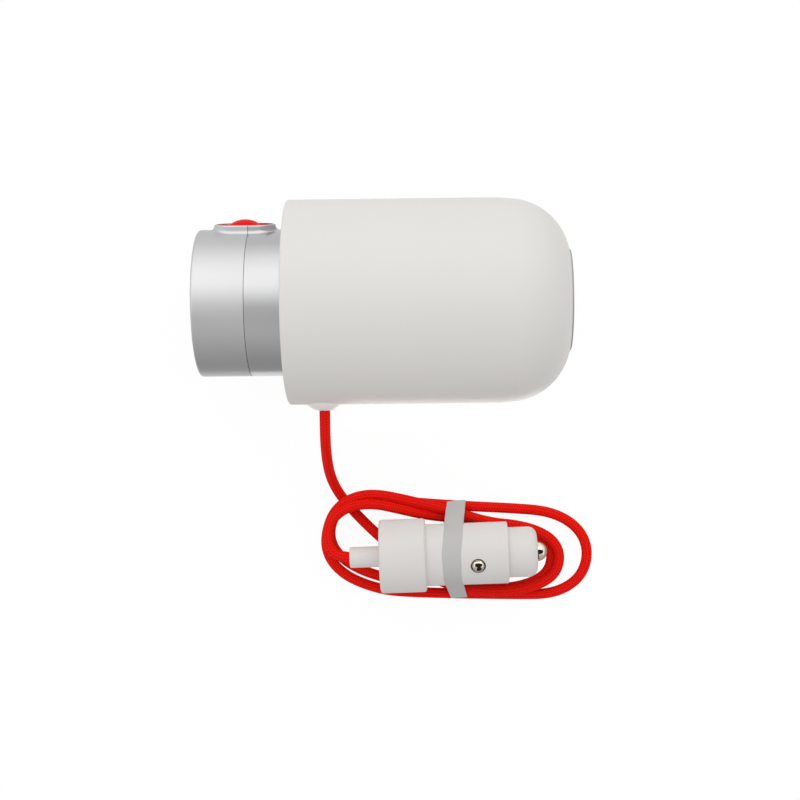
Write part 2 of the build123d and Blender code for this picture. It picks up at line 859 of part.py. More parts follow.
def output_wires():
    """Three straight wires from the main board to the outlet board."""
    start = outlet_board_x + outlet_board_thickness
    end = output_terminal_x - output_terminal_size[0] / 2
    z = board_top + output_terminal_size[2] - output_wire_pitch / 2
    wires = [rod_x(output_wire_radius, start, end, output_terminal_y + step * output_wire_pitch, z)
             for step in (-1, 0, 1)]
    return group(in_body, wires)


# ---- Cooling fan behind the grille ----
fan_x = rear_plate_x + plate_thickness
fan_end_x = fan_x + fan_depth
bearing_radius = fan_shaft_radius + fan_bearing_clearance + fan_bearing_wall
fan_tube_radius = bearing_radius + fan_tube_wall
hub_start = fan_x + fan_axial_gap
hub_end = fan_end_x - fan_mount_thickness - fan_axial_gap
bearing_start = hub_start + fan_hub_end + fan_axial_gap


def fan_holes():
    half = fan_hole_pitch / 2
    return [(y * half, z * half) for y in (-1, 1) for z in (-1, 1)]


def fan_frame():
    square = RectangleRounded(fan_size, fan_size, fan_corner_radius) - Circle(fan_bore_radius)
    frame = prism_x(square, fan_x, fan_depth)
    mount_x = fan_end_x - fan_mount_thickness
    mount = Circle(fan_mount_radius)
    arm = Pos(fan_bore_radius / 2, 0) * Rectangle(fan_bore_radius + fan_tube_wall, fan_strut_width)
    for index in range(fan_struts):
        mount += Rot(0, 0, (index + 0.5) * 360 / fan_struts) * arm
    frame += prism_x(mount, mount_x, fan_mount_thickness)
    frame += rod_x(fan_tube_radius, bearing_start, mount_x)
    frame -= rod_x(bearing_radius, bearing_start, fan_end_x - fan_mount_thickness / 2)
    for y, z in fan_holes():
        frame -= rod_x(screw_radius + screw_gap, fan_x, fan_end_x, y, z)
    return in_body * frame


def fan_bearing():
    sleeve = rod_x(bearing_radius, bearing_start, fan_end_x - fan_mount_thickness)
    return in_body * (sleeve - rod_x(fan_shaft_radius + fan_bearing_clearance, fan_x, fan_end_x))


def fan_stator():
    ring = Circle(fan_stator_radius) - Circle(fan_tube_radius + fan_stator_gap)
    pole_gap = Pos(fan_stator_radius, 0) * Rectangle(fan_pole_gap_depth, fan_pole_gap_width)
    for index in range(fan_poles):
        ring -= Rot(0, 0, index * 360 / fan_poles) * pole_gap
    start = bearing_start + fan_axial_gap
    return in_body * prism_x(ring, start, fan_end_x - fan_mount_thickness - start)


def fan_rotor():
    hub = rod_x(fan_hub_radius, hub_start, hub_end)
    hub -= rod_x(fan_hub_radius - fan_hub_wall, hub_start + fan_hub_end, hub_end)
    hub -= rod_x(fan_shaft_radius, hub_start, hub_end)
    tip = fan_bore_radius - fan_tip_gap
    depth = hub_end - hub_start
    sweep_ring = rod_x(tip, hub_start, hub_end) - rod_x(fan_hub_radius - fan_hub_wall / 2, hub_start, hub_end)
    middle = (hub_start + hub_end) / 2
    for index in range(fan_blades):
        plate = Pos(0, (tip + fan_hub_radius) / 2, 0) * Rot(0, fan_blade_pitch, 0) * Box(
            depth * 2, tip, fan_blade_thickness)
        turned_plate = Pos(middle, 0, 0) * Rot(index * 360 / fan_blades, 0, 0) * plate
        hub += turned_plate & sweep_ring
    return in_body * hub


def fan_shaft():
    return in_body * rod_x(fan_shaft_radius, hub_start, fan_end_x - fan_mount_thickness - fan_axial_gap / 2)


def fan_screws():
    """Four long screws through the fan into the chassis."""
    length = fan_depth + plate_thickness
    fitted = [Pos(fan_end_x, y, z) * Rot(0, 180, 0) * screw(length) for y, z in fan_holes()]
    return group(in_body, fitted)


# ---- Cord entry ----
grommet_top = body_radius + grommet_proud
clamp_top = body_bore - grommet_flange_thickness
clamp_low = clamp_top - clamp_size[2]


def cord_grommet():
    """A domed moulding on the body's side that the cord comes straight out of."""
    skirt = body_radius - grommet_sink
    rise = grommet_top - skirt
    run = grommet_radius**2 - grommet_tip_radius**2
    centre = skirt + (rise**2 - run) / (2 * rise)
    ball = hypot(grommet_radius, skirt - centre)
    half_reach = (grommet_radius + grommet_tip_radius) / 2
    middle = (half_reach, centre + sqrt(ball**2 - half_reach**2))
    bulge = ThreePointArc((grommet_radius, skirt), middle, (grommet_tip_radius, grommet_top))
    top = Polyline((grommet_tip_radius, grommet_top), (0, grommet_top), (0, clamp_top),
                   (grommet_radius, clamp_top), (grommet_radius, skirt))
    profile = Plane.XZ * make_face((bulge + top).edges())
    cap = revolve(profile, Axis.Z, 360)
    cap -= Rot(0, 90, 0) * Cylinder(body_radius, overall_length)
    neck = rod_z(grommet_neck_radius - screw_gap, clamp_top, body_radius + grommet_sink)
    flange = rod_z(grommet_flange_radius, clamp_top, body_bore)
    flange &= Rot(0, 90, 0) * Cylinder(body_bore, overall_length)
    whole = cap + neck + flange - rod_z(cord_radius, 0, grommet_top)
    return at_grommet * whole


def cord_clamp():
    grip = Pos(0, 0, (clamp_low + clamp_top) / 2) * Box(*clamp_size)
    return at_grommet * (grip - rod_z(cord_radius, clamp_low, clamp_top))


def supply_wires():
    """Two conductors from the cut end of the cord to the terminal."""
    wires = [rod_z(supply_wire_radius, -terminal_back, clamp_low, side * supply_wire_pitch / 2, 0)
             for side in (-1, 1)]
    return group(at_grommet, wires)


# ---- Cord: tubes along the free stretches and one solid for the hank ----
def corner_radii(route):
    """Largest tangent arc at each corner of a cord's route."""
    spots = [Vector(*point) for point in route]
    radii = []
    for before, here, after in zip(spots, spots[1:], spots[2:]):
        first, second = here - before, after - here
        half_turn = radians(first.get_angle(second)) / 2
        radii.append(cord_bend_share * min(first.length, second.length) / tan(half_turn))
    return radii


def cord_tube(name, route):
    radii = corner_radii(route)
    line = FilletPolyline(*route, radius=radii)
    tube = sweep(Plane(origin=line @ 0, z_dir=line % 0) * Circle(cord_radius), path=line)
    wanted = pi * cord_radius**2 * line.length
    print(name, "length", round(line.length, 1), "volume share", round(tube.volume / wanted, 4),
          "arc radii in diameters", [round(radius / cord_diameter, 1) for radius in radii])
    return tube


lead = cord_tube("lead", lead_route)
tail = cord_tube("tail", tail_route)


def loop_outline(loops, grow):
    """Round-ended outline round the loops' two ends."""
    ends = [(Pos(x, y) * Circle(radius + grow)).edges()[0] for x, y, radius in loops]
    return make_hull(ends)


def strap_section():
    """The strap's inner line: a taut band round the strands and the plug's barrel."""
    floor_strand = strap_thickness + cord_radius - plug_axis_height
    rounds = [(Pos(y, floor_strand + z) * Circle(cord_radius)).edges()[0] for y, z in strands_at_strap]
    rounds.append(Circle(barrel_radius).edges()[0])
    return make_hull(rounds)


def cord_strap():
    inner = strap_section()
    outer = offset(inner, strap_thickness)
    return in_plug * prism_x(outer - inner, strap_x - strap_width / 2, strap_width)


def plug_envelope(grow):
    """Room for the plug's collar, barrel and nose inside the hank."""
    room = rod_x(collar_radius + grow, -grow, collar_length + grow)
    room += rod_x(barrel_radius + grow, collar_length, nose_start + grow)
    room += rod_x(nose_radius + grow, nose_start, nose_start + nose_length + tip_proud + grow)
    return room


def cord_hank():
    ring = prism_z(loop_outline(outer_loops, cord_radius), 0, hank_height)
    ring -= prism_z(loop_outline(inner_loops, 0), 0, hank_height)
    ring -= lead
    ring -= in_plug * plug_envelope(plug_clearance)
    reach = 2 * body_radius
    slab = in_plug * prism_x(Rectangle(reach, reach), strap_x - strap_width / 2, strap_width)
    tied = in_plug * prism_x(strap_section(), strap_x - strap_width / 2, strap_width)
    return ring - slab + (ring & tied)


# ---- 12 V plug: strain relief, collar, barrel, screw-on nose and contacts ----
barrel_start = collar_length
nose_start = barrel_start + barrel_length
nose_end = nose_start + nose_length
barrel_bore = barrel_radius - barrel_wall
nose_bore = barrel_bore - moulded_gap - nose_wall
fuse_tube_bore = fuse_radius + fuse_tube_gap
fuse_tube_radius = fuse_tube_bore + fuse_tube_wall
fuse_tube_start = collar_floor + sleeve_flange_thickness
tip_centre = nose_end + tip_proud - tip_radius
tip_flange_end = nose_end - nose_end_wall - tip_back_gap
tip_flange_start = tip_flange_end - tip_flange_thickness
fuse_end = tip_flange_start - tip_travel - 2 * spring_wire_radius * tip_spring_turns - tip_spring_spare
fuse_start = fuse_end - fuse_length


def plug_sleeve():
    tube = rod_x(sleeve_radius, -sleeve_length, 0)
    rear = tube.edges().filter_by(GeomType.CIRCLE).sort_by(Axis.X)[0]
    tube = fillet(rear, sleeve_edge_radius)
    tube += rod_x(sleeve_stub_radius, 0, collar_floor)
    tube += rod_x(sleeve_flange_radius, collar_floor, fuse_tube_start)
    return in_plug * (tube - rod_x(cord_radius, -sleeve_length, collar_floor))


def plug_collar():
    ring = rod_x(collar_radius, 0, collar_length)
    ring = fillet(ring.edges().filter_by(GeomType.CIRCLE), collar_edge_radius)
    ring -= rod_x(sleeve_stub_radius, 0, collar_floor)
    ring -= rod_x(barrel_spigot_radius, collar_floor, collar_length)
    return in_plug * ring


def plug_barrel():
    tube = rod_x(barrel_radius, barrel_start, nose_start)
    front = tube.edges().filter_by(GeomType.CIRCLE).sort_by(Axis.X)[-1]
    tube = fillet(front, barrel_edge_radius)
    tube += rod_x(barrel_spigot_radius - screw_gap, fuse_tube_start, barrel_start)
    tube -= rod_x(barrel_spigot_radius - barrel_spigot_wall, fuse_tube_start, barrel_start)
    tube -= rod_x(barrel_bore, barrel_start, nose_start)
    web = (barrel_web_x, barrel_web_x + barrel_web_thickness)
    tube += rod_x(barrel_bore + tight, *web) - rod_x(fuse_tube_radius, *web)
    for frame in side_frames.values():
        tube -= frame * rod_z(ball_radius + ball_hole_gap, 0, barrel_radius)
    return in_plug * tube


def plug_nose():
    cap = rod_x(nose_radius, nose_start, nose_end)
    front = cap.edges().filter_by(GeomType.CIRCLE).sort_by(Axis.X)[-1]
    cap = fillet(front, nose_end_radius)
    cap += rod_x(barrel_bore - moulded_gap, nose_start - nose_spigot_length, nose_start)
    cap -= rod_x(nose_bore, nose_start - nose_spigot_length, nose_end - nose_end_wall)
    return in_plug * (cap - rod_x(tip_radius + tip_hole_clearance, nose_start, nose_end))


def tip_contact():
    pin = rod_x(tip_radius, tip_flange_start, tip_centre) + Pos(tip_centre, 0, 0) * Sphere(tip_radius)
    pin = pin & rod_x(tip_radius + tight, tip_flange_start, tip_centre + tip_radius)
    return in_plug * (pin + rod_x(tip_flange_radius, tip_flange_start, tip_flange_end))


def tip_spring():
    height = tip_flange_start - fuse_end
    spring = coil_spring(tip_spring_radius, tip_spring_turns, height)
    return in_plug * Pos(fuse_end, 0, 0) * Rot(0, 90, 0) * spring


def plug_fuse():
    glass = rod_x(fuse_radius - fuse_cap_wall, fuse_start, fuse_end)
    for start in (fuse_start, fuse_end - fuse_cap_length):
        glass += rod_x(fuse_radius, start, start + fuse_cap_length)
    return in_plug * glass


def fuse_tube():
    end = nose_start - nose_spigot_length - moulded_gap
    bore = rod_x(fuse_tube_bore, fuse_tube_start, end)
    return in_plug * (rod_x(fuse_tube_radius, fuse_tube_start, end) - bore)


def fuse_contact():
    return in_plug * rod_x(fuse_radius, fuse_tube_start, fuse_start)


ball_centre = barrel_radius + ball_proud - ball_radius
ball_flange_top = sqrt(barrel_bore**2 - ball_flange_radius**2) - ball_flange_gap
ball_flange_low = ball_flange_top - ball_flange_thickness


def side_contact(side):
    pin = Pos(0, 0, ball_centre) * Sphere(ball_radius) + rod_z(ball_neck_radius, ball_flange_low, ball_centre)
    pin += rod_z(ball_flange_radius, ball_flange_low, ball_flange_top)
    return in_plug * side_frames[side] * pin


def side_spring(side):
    height = ball_flange_low - fuse_tube_radius
    spring = Pos(0, 0, fuse_tube_radius) * coil_spring(side_spring_radius, side_spring_turns, height)
    return in_plug * side_frames[side] * spring


# ---- All nodes ----
nodes = {
    "body_shell": body_shell(),
    "shoulder_ring": shoulder_ring(),
    "base_grille": base_grille(),
    "neck_upper_ring": neck_upper_ring(),
    "neck_lower_ring": neck_lower_ring(),
    "power_button": power_button(),
    "switch_plunger": switch_plunger(),
    "button_switch": button_switch(),
    "switch_board": switch_board(),
    "outlet_face": outlet_face(),
    "outlet_housing": outlet_housing(),
    "blade_contacts": blade_contacts(),
    "earth_contact": earth_contact(),
    "usb_shells": usb_shells(),
    "usb_tongues": usb_tongues(),
    "status_light": status_light(),
    "outlet_board": outlet_board(),
    "outlet_screws": outlet_screws(),
    "chassis": chassis(),
    "case_screws": case_screws(),
    "neck_screws": neck_screws(),
    "main_board": main_board(),
    "transformer_core": transformer_core(),
    "transformer_winding": transformer_winding(),
    "choke_coil": choke_coil(),
    "input_capacitors": input_capacitors(),
    "bus_capacitor": bus_capacitor(),
    "heat_sink": heat_sink(),
    "power_transistors": power_transistors(),
    "transistor_screws": transistor_screws(),
    "input_terminal": input_terminal(),
    "output_terminal": output_terminal(),
    "output_wires": output_wires(),
    "fan_frame": fan_frame(),
    "fan_bearing": fan_bearing(),
    "fan_stator": fan_stator(),
    "fan_rotor": fan_rotor(),
    "fan_shaft": fan_shaft(),
    "fan_screws": fan_screws(),
    "cord_grommet": cord_grommet(),
    "cord_clamp": cord_clamp(),
    "supply_wires": supply_wires(),
    "cord_lead": lead,
    "cord_hank": cord_hank(),
    "cord_tail": tail,
    "cord_strap": cord_strap(),
    "plug_sleeve": plug_sleeve(),
    "plug_collar": plug_collar(),
    "plug_barrel": plug_barrel(),
    "plug_nose": plug_nose(),
    "tip_contact": tip_contact(),
    "tip_spring": tip_spring(),
    "plug_fuse": plug_fuse(),
    "fuse_tube": fuse_tube(),
    "fuse_contact": fuse_contact(),
    "side_contact_upper": side_contact("upper"),
    "side_contact_lower": side_contact("lower"),
    "side_spring_upper": side_spring("upper"),
    "side_spring_lower": side_spring("lower"),
}

os.makedirs("parts", exist_ok=True)
for name, shape in nodes.items():
    export_step(shape, f"parts/{name}.step")
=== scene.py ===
from math import cos, pi, radians, sin

import bpy
import numpy as np
from mathutils import Matrix, Vector


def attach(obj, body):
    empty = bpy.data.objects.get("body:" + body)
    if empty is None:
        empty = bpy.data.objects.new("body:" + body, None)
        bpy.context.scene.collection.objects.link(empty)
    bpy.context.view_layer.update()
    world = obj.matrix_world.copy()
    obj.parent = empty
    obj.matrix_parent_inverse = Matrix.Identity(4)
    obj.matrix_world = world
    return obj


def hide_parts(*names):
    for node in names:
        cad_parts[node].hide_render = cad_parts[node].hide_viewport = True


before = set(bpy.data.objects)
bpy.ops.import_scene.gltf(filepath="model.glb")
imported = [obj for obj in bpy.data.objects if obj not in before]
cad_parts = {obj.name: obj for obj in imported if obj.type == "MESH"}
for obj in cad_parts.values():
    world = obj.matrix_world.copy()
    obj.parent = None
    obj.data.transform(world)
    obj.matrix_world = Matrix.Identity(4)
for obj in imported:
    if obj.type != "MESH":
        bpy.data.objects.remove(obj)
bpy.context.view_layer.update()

scene = bpy.context.scene
scene.view_settings.view_transform = "Standard"
bpy.ops.object.select_all(action="DESELECT")

# ---- Camera ----
# A long lens looks almost straight down on the device, which lies on its side.
# Metres and degrees; the slight tip and roll are those of a hand-set stand.
camera_place = (0.018347, -0.032237, 0.555248)
camera_tip = 1.505
camera_roll = -0.507
camera_lens = 71.75
bpy.ops.object.camera_add(location=camera_place)
camera = bpy.context.object
camera.rotation_mode = "ZYX"
camera.rotation_euler = (0, radians(camera_tip), radians(camera_roll))
camera.data.lens = camera_lens
scene.camera = camera

# ---- Braided cord ----
# One lead of round cord in a woven red sleeve. It leaves the body through the grommet, drops to
# the table, passes under the plug, makes five half turns round it and ends in the plug's sleeve.
cord_diameter = 0.00355
cord_rings = 2000
cord_sides = 32
course_steps = 24
braid_rows = 10
braid_pitch = 0.00092
# Lower powers make fuller stitches and flatter rows.
stitch_slant = 0.9
stitch_power = 0.7
row_power = 0.4
stitch_height = 0.00013
lead_route = [
    (-0.0200, -0.0275, 0.0335),
    (-0.0201, -0.0410, 0.0335),
    (-0.0204, -0.0505, 0.0238),
    (-0.0200, -0.0582, 0.0116),
    (-0.0174, -0.0650, 0.0024),
    (-0.0110, -0.0726, 0.0018),
    (-0.0020, -0.0812, 0.0018),
    (0.0072, -0.0890, 0.0019),
    (0.0142, -0.0934, 0.0052),
]
tail_route = [
    (0.0120, -0.0719, 0.0048),
    (0.0030, -0.0696, 0.0070),
    (-0.0054, -0.0676, 0.0086),
    (-0.0134, -0.0683, 0.0102),
    (-0.0190, -0.0718, 0.0114),
    (-0.0213, -0.0772, 0.0130),
    (-0.0204, -0.0824, 0.0151),
    (-0.0164, -0.0854, 0.0162),
    (-0.0104, -0.08535, 0.0162),
]
strap_station_x = 0.023
# Each half turn: where it starts under the strap (y, z), its middle, reach, half width, lean,
# first and last angle, squareness (1 is an ellipse) and how high it lies, first point to last.
half_turns = [
    ((-0.0971, 0.0056), (0.0317, -0.0867), 0.0269, 0.0121, -1, (-83, 87), 0.85,
     (5.3, 5.2, 5.2, 5.0, 4.7, 4.6, 4.8, 5.0, 5.3)),
    ((-0.0711, 0.0056), (-0.0012, -0.0817), 0.0211, 0.0162, -16, (93, 292), 0.85,
     (5.5, 6.3, 8.1, 8.5, 7.0, 5.4, 4.6, 3.0, 1.9, 1.8, 1.8)),
    ((-0.0994, 0.0026), (0.0480, -0.0852), 0.0204, 0.0149, -5, (-93, 100), 0.93,
     (1.8, 1.8, 1.8, 1.8, 1.8, 1.8, 1.8, 1.8, 1.8)),
    ((-0.0690, 0.0026), (0.0019, -0.0811), 0.0232, 0.0134, -14, (97, 283), 0.85,
     (1.8, 1.8, 3.6, 5.4, 4.6, 2.2, 1.8, 1.8, 1.8, 1.8)),
    ((-0.0947, 0.0026), (0.0321, -0.0868), 0.0240, 0.0113, -1, (-87, 90), 0.85,
     (1.8, 1.8, 1.8, 1.8, 1.8, 1.8, 1.8, 1.8, 1.8)),
]
last_station = (-0.0733, 0.0026)
mm = 0.001


def half_turn(middle, reach, half_width, lean, angles, squareness, heights):
    """Points round one end of the hank, from its first angle to its last."""
    points = []
    for angle, height in zip(np.radians(np.linspace(*angles, len(heights))), heights):
        along = reach * np.sign(cos(angle)) * abs(cos(angle)) ** squareness
        across = half_width * np.sign(sin(angle)) * abs(sin(angle)) ** squareness
        tilt = radians(lean)
        x = middle[0] + along * cos(tilt) - across * sin(tilt)
        y = middle[1] + along * sin(tilt) + across * cos(tilt)
        points.append((x, y, height * mm))
    return points


course_points = list(lead_route)
for station, *turn in half_turns:
    course_points.append((strap_station_x, *station))
    course_points += half_turn(*turn)
course_points.append((strap_station_x, *last_station))
course_points += tail_route


def read_course(points):
    """The smooth line of a NURBS spline through its control points."""
    curve = bpy.data.curves.new("cord_course", "CURVE")
    curve.dimensions = "3D"
    curve.resolution_u = course_steps
    spline = curve.splines.new("NURBS")
    spline.points.add(len(points) - 1)
    for spot, place in zip(spline.points, points):
        spot.co = (*place, 1)
    spline.order_u = 3
    spline.use_endpoint_u = True
    holder = bpy.data.objects.new("cord_course", curve)
    line = bpy.data.meshes.new_from_object(holder)
    places = np.array([vertex.co for vertex in line.vertices])
    bpy.data.objects.remove(holder)
    bpy.data.meshes.remove(line)
    return places


def evenly(places, count):
    """The same line with its points the same distance apart, and their distances."""
    steps = np.linalg.norm(np.diff(places, axis=0), axis=1)
    along = np.concatenate([[0], np.cumsum(steps)])
    stations = np.linspace(0, along[-1], count)
    even = np.stack([np.interp(stations, along, places[:, axis]) for axis in range(3)], axis=1)
    return even, stations


def braided_tube(name, places, radius):
    """A closed tube along a line. Its UV map counts stitches along it and rows round it."""
    line, stations = evenly(places, cord_rings)
    ways = np.gradient(line, axis=0)
    ways /= np.linalg.norm(ways, axis=1)[:, None]
    side = Vector((1, 0, 0))
    angles = np.linspace(0, 2 * pi, cord_sides, endpoint=False)
    points = []
    for spot, way in zip(line, ways):
        way = Vector(way)
        side = (side - way * side.dot(way)).normalized()
        other = way.cross(side)
        points.append(spot + radius * (np.outer(np.cos(angles), side) + np.outer(np.sin(angles), other)))
    faces, uvs = [], []
    for ring in range(cord_rings - 1):
        low, high = stations[ring] / braid_pitch, stations[ring + 1] / braid_pitch
        for index in range(cord_sides):
            here = ring * cord_sides + index
            there = ring * cord_sides + (index + 1) % cord_sides
            faces.append((here, there, there + cord_sides, here + cord_sides))
            left = index * braid_rows / cord_sides
            right = (index + 1) * braid_rows / cord_sides
            uvs += [(low, left), (low, right), (high, right), (high, left)]
    last = (cord_rings - 1) * cord_sides
    faces.append(tuple(range(cord_sides))[::-1])
    faces.append(tuple(range(last, last + cord_sides)))
    uvs += [(0, index * braid_rows / cord_sides) for index in range(2 * cord_sides)]
    mesh = bpy.data.meshes.new(name)
    mesh.from_pydata(np.concatenate(points), [], faces)
    mesh.uv_layers.new(name="braid").data.foreach_set("uv", np.array(uvs).ravel())
    mesh.shade_smooth()
    tube = bpy.data.objects.new(name, mesh)
    scene.collection.objects.link(tube)
    return tube


def linear(colour):
    """An 8-bit colour as the linear values that a shader takes."""
    parts = [value / 255 for value in colour]
    return (*[part / 12.92 if part <= 0.04045 else ((part + 0.055) / 1.055) ** 2.4 for part in parts], 1)


def bare_material(name, colour, roughness, metallic=0.0):
    """A material with plain values, and its shader and node tree."""
    material = bpy.data.materials.new(name)
    material.use_nodes = True
    tree = material.node_tree
    shader = tree.nodes["Principled BSDF"]
    shader.inputs["Base Color"].default_value = linear(colour)
    shader.inputs["Roughness"].default_value = roughness
    shader.inputs["Metallic"].default_value = metallic
    return material, tree, shader


def add_bump(tree, shader, height, distance):
    """Feeds a height from 0 to 1 into the shader's normal, as deep as the distance in metres."""
    bump = tree.nodes.new("ShaderNodeBump")
    bump.inputs["Distance"].default_value = distance
    bump.inputs["Strength"].default_value = 1.0
    tree.links.new(height, bump.inputs["Height"])
    tree.links.new(bump.outputs["Normal"], shader.inputs["Normal"])


def weave_group():
    """Height of a braid's stitches: rows along the cord whose stitches lean to and fro."""
    group = bpy.data.node_groups.new("braid_weave", "ShaderNodeTree")
    group.interface.new_socket("Height", in_out="OUTPUT", socket_type="NodeSocketFloat")
    outlet = group.nodes.new("NodeGroupOutput")
    coordinate = group.nodes.new("ShaderNodeTexCoord")
    parts = group.nodes.new("ShaderNodeSeparateXYZ")
    group.links.new(coordinate.outputs["UV"], parts.inputs["Vector"])

    def maths(operation, *inputs):
        node = group.nodes.new("ShaderNodeMath")
        node.operation = operation
        for socket, value in zip(node.inputs, inputs):
            if isinstance(value, (int, float)):
                socket.default_value = value
            else:
                group.links.new(value, socket)
        return node.outputs["Value"]

    row_part = maths("FRACT", parts.outputs["Y"])
    lean = maths("MULTIPLY_ADD", maths("FLOORED_MODULO", maths("FLOOR", parts.outputs["Y"]), 2), 2, -1)
    slant = maths("MULTIPLY", maths("MULTIPLY", row_part, lean), stitch_slant)
    stitch = maths("SINE", maths("MULTIPLY", maths("FRACT", maths("ADD", parts.outputs["X"], slant)), pi))
    ridge = maths("SINE", maths("MULTIPLY", row_part, pi))
    height = maths("MULTIPLY", maths("POWER", stitch, stitch_power), maths("POWER", ridge, row_power))
    group.links.new(height, outlet.inputs["Height"])
    return group


def braid_material():
    """Dyed polyester yarn. Its colour follows the weave's height: painted shade makes it deep red in the gaps
    between the stitches, and a painted highlight makes it bright on their tops.
    """
    material, tree, shader = bare_material("braided_yarn", (236, 10, 6), 0.7)
    weave = tree.nodes.new("ShaderNodeGroup")
    weave.node_tree = weave_group()
    # Painted shade and highlight: the ramp turns the stitches' height into a deep red in the gaps and a
    # brighter, oranger red on the stitch tops.
    ramp = tree.nodes.new("ShaderNodeValToRGB")
    ramp.color_ramp.elements[0].position = 0.30
    ramp.color_ramp.elements[0].color = linear((226, 2, 0))
    ramp.color_ramp.elements[1].position = 0.70
    ramp.color_ramp.elements[1].color = linear((255, 34, 20))
    tree.links.new(weave.outputs["Height"], ramp.inputs["Fac"])
    coordinate = tree.nodes.new("ShaderNodeTexCoord")
    fibre = tree.nodes.new("ShaderNodeTexNoise")
    fibre.inputs["Scale"].default_value = 3.0
    fibre.inputs["Detail"].default_value = 3.0
    tree.links.new(coordinate.outputs["UV"], fibre.inputs["Vector"])
    blend = tree.nodes.new("ShaderNodeMix")
    blend.data_type = "RGBA"
    blend.blend_type = "MULTIPLY"
    blend.inputs["Factor"].default_value = 0.04
    tree.links.new(ramp.outputs["Color"], blend.inputs["A"])
    tree.links.new(fibre.outputs["Fac"], blend.inputs["B"])
    tree.links.new(blend.outputs["Result"], shader.inputs["Base Color"])
    shader.inputs["Specular IOR Level"].default_value = 0.08
    shader.inputs["Sheen Weight"].default_value = 0.1
    shader.inputs["Sheen Roughness"].default_value = 0.5
    shader.inputs["Sheen Tint"].default_value = linear((255, 16, 4))
    add_bump(tree, shader, weave.outputs["Height"], stitch_height)
    return material


course = read_course(course_points)
cord = braided_tube("braided_cord", course, cord_diameter / 2)
cord.data.materials.append(braid_material())
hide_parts("cord_lead", "cord_hank", "cord_tail")
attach(cord, "casing")

# ---- Strap ----
# A flat band of grey silicone, stretched round the plug's barrel and the strands beside it.
# It is cut from a strip and closed under the plug; it bows towards the sleeve over the barrel.
plug_place = (-0.00305, -0.08514, 0.0162)
plug_turn = 1.57
strap_x = 0.026
strap_thickness = 0.0008
strap_slack = 0.00012
strap_columns = 7
strap_rows = 150
strap_angles = 720
strap_edge = 0.00018
barrel_radius = 0.0104
strands_at_strap = ((-0.0147, 0.0), (0.0154, 0.0), (-0.0126, 0.003), (0.0136, 0.003))
# Across the plug (y): how far the band bows along it, and its width there.
strap_bow = ((-0.0185, 0.0004, 0.0057), (-0.0163, 0.0003, 0.0057), (-0.008, -0.0017, 0.0061),
             (0.001, -0.0019, 0.0065), (0.0118, -0.0005, 0.0065), (0.018, 0.0007, 0.0064))


def strap_outline():
    """The band's inner line round the strands and the barrel, in the plug's frame."""
    floor_strand = strap_thickness + cord_diameter / 2 - plug_place[2]
    rounds = [(y, floor_strand + z, cord_diameter / 2 + strap_slack) for y, z in strands_at_strap]
    rounds.append((0, 0, barrel_radius + strap_slack))
    outline = []
    for angle in np.linspace(0, 2 * pi, strap_angles, endpoint=False):
        reach = [y * cos(angle) + z * sin(angle) + radius for y, z, radius in rounds]
        y, z, radius = rounds[int(np.argmax(reach))]
        outline.append((y + radius * cos(angle), z + radius * sin(angle)))
    outline = np.array(outline + outline[:1])
    steps = np.linalg.norm(np.diff(outline, axis=0), axis=1)
    along = np.concatenate([[0], np.cumsum(steps)])
    stations = np.linspace(0, along[-1], strap_rows, endpoint=False)
    return np.stack([np.interp(stations, along, outline[:, axis]) for axis in range(2)], axis=1)


def strap_band():
    """The closed band: rows of points round the outline, given their wall and soft edges."""
    bow_y, bow_x, bow_width = np.array(strap_bow).T
    rows = []
    for y, z in strap_outline():
        middle = strap_x + np.interp(y, bow_y, bow_x)
        half = np.interp(y, bow_y, bow_width) / 2
        for x in np.linspace(-half, half, strap_columns):
            rows.append((middle + x, y, z))
    faces = []
    for row in range(strap_rows):
        for column in range(strap_columns - 1):
            here = row * strap_columns + column
            there = (row + 1) % strap_rows * strap_columns + column
            faces.append((here, here + 1, there + 1, there))
    mesh = bpy.data.meshes.new("cord_band")
    mesh.from_pydata(rows, [], faces)
    mesh.transform(Matrix.Translation(plug_place) @ Matrix.Rotation(radians(plug_turn), 4, "Z"))
    band = bpy.data.objects.new("cord_band", mesh)
    scene.collection.objects.link(band)
    bpy.context.view_layer.objects.active = band
    wall = band.modifiers.new("wall", "SOLIDIFY")
    wall.thickness = strap_thickness
    wall.offset = 1
    bpy.ops.object.modifier_apply(modifier=wall.name)
    edge = band.modifiers.new("edge", "BEVEL")
    edge.width = strap_edge
    edge.segments = 2
    edge.limit_method = "ANGLE"
    edge.angle_limit = radians(50)
    bpy.ops.object.modifier_apply(modifier=edge.name)
    band.data.shade_smooth()
    return band


grain_share = 0.35


